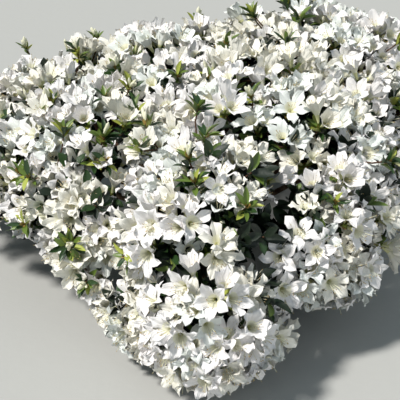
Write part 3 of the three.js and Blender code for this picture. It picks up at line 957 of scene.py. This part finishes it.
def petalFinish(name, colour):
    # A plain colour under veins that fan out along each petal, a groove along its middle and a fine grain
    paint = Paint(name)
    petalPlace = paint.node("ShaderNodeAttribute", {"attribute_name": "petalPlace"}, {}, "Vector")
    split = paint.node("ShaderNodeSeparateXYZ", {}, {"Vector": petalPlace})
    across, along = Socket(paint, split.outputs["X"]), Socket(paint, split.outputs["Y"])
    cloud = paint.noise(paint.place(), veining["grain"], 3.0)
    veins = (across * veining["count"] + veining["wander"] * cloud).math("SINE")
    groove = 1 - (across * across * veining["grooveSharpness"] + 1) ** -1
    height = veins * veining["veinShare"] * along + groove + cloud * veining["grainShare"]
    return paint.finish(colour, 0.46 + 0.14 * cloud, 0.35, height, veining["strength"], veining["depth"])


fineParts = {  # piece, colour, roughness, grain, its depth and slot of each fine part
    "specks": ("petalSpecks", screenColour(196, 188, 112), 0.6, 900.0, 0.0001, "blossom"),
    "threads": ("stamenThreads", screenColour(226, 224, 196), 0.5, 900.0, 0.0001, "blossom"),
    "anthers": ("anthers", screenColour(196, 170, 116), 0.7, 900.0, 0.0002, "blossom"),
    "stalk": ("flowerStalks", screenColour(122, 138, 62), 0.6, 900.0, 0.0001, "leaf"),
}


def openTrusses(random):
    # Rows of flowers for each tint, and of buds, for scatter
    flowers, buds = {name: [] for name in tints}, []
    names = list(tints)
    shares = [share for colour, share in tints.values()]
    kinds = flower["kinds"]
    rimReach, rimHeight = flower["rim"]

    def addBuds(tip, count, leans, lifts):
        for _ in range(count):
            way = leaning(tip["way"], random.uniform(0, full), random.uniform(*leans))
            size = random.uniform(*bud["sizes"])
            place = tip["place"] + way * random.uniform(*lifts)
            buds.append((place, way, up + random.normal(0, 1, 3), size, random.integers(bud["kinds"])))

    for truss in trussList:
        tint = names[random.choice(len(names), p=shares)]
        count = random.choice(trusses["flowerCounts"], p=trusses["flowerShares"])
        first = random.uniform(0, full)
        budsHere = 0
        for index in range(count):
            tilt = random.uniform(*trusses["tilt"]) * (trusses["loneTilt"] if count == 1 else 1)
            turn = first + full * index / count + random.uniform(-trusses["turnStray"], trusses["turnStray"])
            way = leaning(truss["way"], turn, tilt)
            if random.uniform() < trusses["budShare"]:
                budsHere += random.integers(*bud["trussCounts"])
                continue
            top = unit(up + random.normal(0, flower["topWaver"], 3))
            size = random.uniform(*flower["sizes"])
            drop = rimReach * math.sqrt(max(0, 1 - way[2] ** 2)) - rimHeight * way[2]
            if truss["place"][2] - size * drop < trusses["clearance"]:
                continue
            pick = random.integers(kinds)
            if truss["kind"] == "collar":
                pick = pick // 2  # half open
            elif truss["way"][2] < flower["upright"]:
                pick = (pick + kinds) // 2  # well open
            flowers[tint].append((truss["place"], way, top, size, pick))
        addBuds(truss, budsHere, bud["trussLeans"], bud["trussLifts"])

    for tip in tipList:
        if tip["kind"] in ("spray", "leader") and random.uniform() <= bud["sprayShare"]:
            addBuds(tip, random.integers(*bud["sprayCounts"]), bud["sprayLeans"], bud["sprayLifts"])
    return flowers, buds


def makeBlossom():
    shapes, petalPlaces = makeFlowerShapes()
    flowers, buds = openTrusses(np.random.default_rng(trusses["blossomSeed"]))
    throat = softFinish("throatFinish", screenColour(228, 227, 176), 0.55, 700.0, 0.0002, 0.4)
    blush = softFinish("blushFinish", screenColour(241, 239, 220), 0.5, 700.0, 0.0002, 0.4)
    piles = {part: Pile() for part in fineParts}
    pieces = []
    for name, rows in flowers.items():
        petals = Pile()
        for part, templates in shapes.items():
            scatter(piles.get(part, petals), rows, *templates)
        finish = petalFinish(name + "Finish", tints[name][0])
        piece = makePiece(name, petals, [finish, throat, blush])
        given = np.tile(petalPlaces, (len(rows), 1)).astype(np.float32)
        attribute = piece.data.attributes.new("petalPlace", "FLOAT_VECTOR", "POINT")
        attribute.data.foreach_set("vector", given.ravel())
        pieces.append(piece)
    for part, (name, colour, rough, grain, depth, slot) in fineParts.items():
        makePiece(name, piles[part], [softFinish(name + "Finish", colour, rough, grain, depth)])

    pile = Pile()
    scatter(pile, buds, *makeBudShapes())
    creamy = softFinish("budFinish", screenColour(232, 230, 204), 0.5, 500.0, 0.0003, 0.4)
    budGreen = softFinish("budFootFinish", screenColour(150, 158, 84), 0.55, 700.0, 0.0002)
    makePiece("buds", pile, [creamy, budGreen])
    print("flowers:", sum(len(rows) for rows in flowers.values()), "buds:", len(buds))
    return pieces


blossomPieces = makeBlossom()
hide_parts(*massNodes)


def growTwigs():
    random = np.random.default_rng(shoots["seed"] + 1)
    pile = Pile()

    def twig(start, end, count, tipCount, lastWay=None):
        radius = shoots["twigRadius"] * count ** shoots["twigGrowth"]
        tipRadius = shoots["twigRadius"] * tipCount ** shoots["twigGrowth"]
        length = np.linalg.norm(end - start)
        bend = random.normal(0, shoots["bend"], 3) * length
        first = between(start, end, 0.33) + bend
        second = between(start, end, 0.67) + bend * 0.6
        if lastWay is not None:
            second = end - lastWay * length * shoots["landing"]
        line = bezier([start, first, second, end], shoots["steps"])
        pile.add(*tube(line, np.linspace(radius, tipRadius, shoots["steps"]), shoots["sides"]))

    def fork(start, group):
        if len(group) == 1:
            twig(start, group[0]["place"], 1, 1, group[0]["way"])
            return
        places = np.array([tip["place"] for tip in group])
        centred = places - places.mean(axis=0)
        axis = np.linalg.svd(centred, full_matrices=False)[2][0]
        order = np.argsort(centred @ axis)
        cut = len(group) // 2
        if len(group) >= shoots["fewTips"]:
            cut = int(len(group) * random.uniform(*shoots["halves"]))
        for half in (order[:cut], order[cut:]):
            members = [group[k] for k in half]
            goal = np.mean([tip["place"] for tip in members], axis=0)
            if len(members) == 1:
                fork(start, members)
                continue
            node = between(start, goal, random.uniform(*shoots["forkShares"]))
            twig(start, node, len(members), len(members) * shoots["taper"])
            fork(node, members)

    for index, mass in enumerate(masses):
        group = [tip for tip in tipList if tip["owner"] == index]
        heart = mass["entry"] + mass["way"] * shoots["heartDepth"]
        pile.add(*tube(np.array([mass["entry"], heart]), [mass["entryRadius"]] * 2, 8, None, True))
        fork(heart, group)
    return pile


twigFinish = softFinish("twigFinish", screenColour(86, 62, 47), 0.8, 600.0, 0.0005, 0.3)
makePiece("twigs", growTwigs(), [twigFinish])


# Leaves in whorls round every tip, and golden scales under most of them
leaf = {
    "seed": 67,
    "kinds": 6,
    "stations": [(0.0, 0.0), (0.16, 0.5), (0.38, 0.94), (0.62, 1.0), (0.84, 0.6), (1.0, 0.0)],
    "droops": (-0.30, 0.18),
    "fold": 0.30,
    "foldShares": (0.4, 1.3),
    "skews": (-0.10, 0.10),
    "turn": 2.4,  # from one leaf of a whorl to the next
    "turnStray": 0.3,
    "drop": 0.018,  # how far below the tip the lowest leaf of a whorl stands
    "faceRise": 0.6,
    "faceStray": 0.3,
    "clearance": 0.012,  # from the ground
    "finishes": {
        # leavesShade: a real dark leaf green, darkened further to near black as painted shade so the gaps
        # read dark
        "leavesShade": (screenColour(20, 34, 19), 0.50),
        "leavesDark": (screenColour(42, 68, 32), 0.40),
        "leavesMid": (screenColour(98, 120, 50), 0.42),
        "leavesYoung": (screenColour(164, 172, 76), 0.48),
    },
    "whorls": {  # number of leaves, length, width as a share of length, lean, and the finishes' shares
        "truss": ((4, 7), (0.020, 0.030), (0.36, 0.46), (0.9, 1.5), (0.18, 0.44, 0.28, 0.10)),
        # deep and hollow tips take mostly the painted-shade finish
        "deep": ((5, 8), (0.030, 0.045), (0.42, 0.52), (0.5, 1.5), (0.80, 0.18, 0.02, 0.00)),
        "hollow": ((5, 8), (0.028, 0.042), (0.38, 0.48), (0.5, 1.4), (0.60, 0.26, 0.11, 0.03)),
        "collar": ((7, 10), (0.024, 0.036), (0.26, 0.36), (0.75, 1.50), (0.00, 0.28, 0.50, 0.22)),
        "spray": ((8, 12), (0.024, 0.036), (0.24, 0.36), (0.45, 1.40), (0.00, 0.30, 0.48, 0.22)),
        "leader": ((7, 10), (0.020, 0.030), (0.24, 0.34), (0.25, 1.1), (0.00, 0.20, 0.40, 0.40)),
    },
    "scaled": ("truss", "collar", "spray", "leader"),  # the tips that have golden scales under them
    "scales": (3, 6),
    "scaleTurns": 3.5,  # scales to a full turn
    "scaleLeans": (0.25, 0.75),
    "scaleDrops": (0.001, 0.006),
    "scaleLengths": (0.009, 0.013),
    "scaleWidth": 0.5,
    "scaleFace": 0.2,
}


def makeLeafShapes():
    random = np.random.default_rng(leaf["seed"])
    shapes = []
    for _ in range(leaf["kinds"]):
        droop = random.uniform(*leaf["droops"])
        fold = leaf["fold"] * random.uniform(*leaf["foldShares"])
        skew = random.uniform(*leaf["skews"])
        points = []
        for along, wide in leaf["stations"]:
            middle = np.array([skew * along ** 2, droop * along ** 2, along])
            for side in (-1, 0, 1) if wide else (0,):
                points.append(middle + wide / 2 * np.array([side, abs(side) * fold, 0.0]))
        shapes.append(np.array(points))
    triangles = [(0, 2, 1), (0, 3, 2)]
    for row in range(len(leaf["stations"]) - 3):
        a = 1 + 3 * row
        for k in (0, 1):
            triangles += [(a + k, a + k + 1, a + k + 4), (a + k, a + k + 4, a + k + 3)]
    last = len(shapes[0]) - 1
    triangles += [(last - 3, last - 2, last), (last - 2, last - 1, last)]
    return np.array(shapes), np.array(triangles)


def makeLeaves():
    random = np.random.default_rng(leaf["seed"] + 1)
    shapes = makeLeafShapes()
    names = list(leaf["finishes"])
    rows = {name: [] for name in names}
    scales = []
    for tip in tipList:
        counts, lengths, widths, leans, shares = leaf["whorls"][tip["kind"]]
        count = random.integers(*counts)
        first = random.uniform(0, full)
        for index in range(count):
            turn = first + index * leaf["turn"] + random.uniform(-leaf["turnStray"], leaf["turnStray"])
            way = leaning(tip["way"], turn, random.uniform(*leans))
            place = tip["place"] - tip["way"] * random.uniform(0, leaf["drop"])
            length = random.uniform(*lengths)
            width = length * random.uniform(*widths)
            if place[2] + way[2] * length < leaf["clearance"]:
                continue
            face = tip["way"] + up * leaf["faceRise"] + random.normal(0, leaf["faceStray"], 3)
            kind = names[random.choice(len(names), p=shares)]
            rows[kind].append((place, way, face, (width, length, length), random.integers(leaf["kinds"])))
        if tip["kind"] in leaf["scaled"]:
            for index in range(random.integers(*leaf["scales"])):
                turn = first + full * index / leaf["scaleTurns"]
                way = leaning(tip["way"], turn, random.uniform(*leaf["scaleLeans"]))
                place = tip["place"] - tip["way"] * random.uniform(*leaf["scaleDrops"])
                length = random.uniform(*leaf["scaleLengths"])
                face = way * leaf["scaleFace"] - tip["way"]
                size = (length * leaf["scaleWidth"], length, length)
                scales.append((place, way, face, size, random.integers(leaf["kinds"])))

    def makeLeafPiece(name, rows, finish):
        pile = Pile()
        scatter(pile, rows, *shapes)
        makePiece(name, pile, [finish])

    for name, (colour, rough) in leaf["finishes"].items():
        finish = softFinish(name + "Finish", colour, rough, 260.0, 0.0006, 0.5, 0.12)
        makeLeafPiece(name, rows[name], finish)
        print(name, len(rows[name]), "leaves")
    scaleFinish = softFinish("scaleFinish", screenColour(148, 122, 62), 0.5, 500.0, 0.0003, 0.5, 0.2)
    makeLeafPiece("budScales", scales, scaleFinish)


makeLeaves()
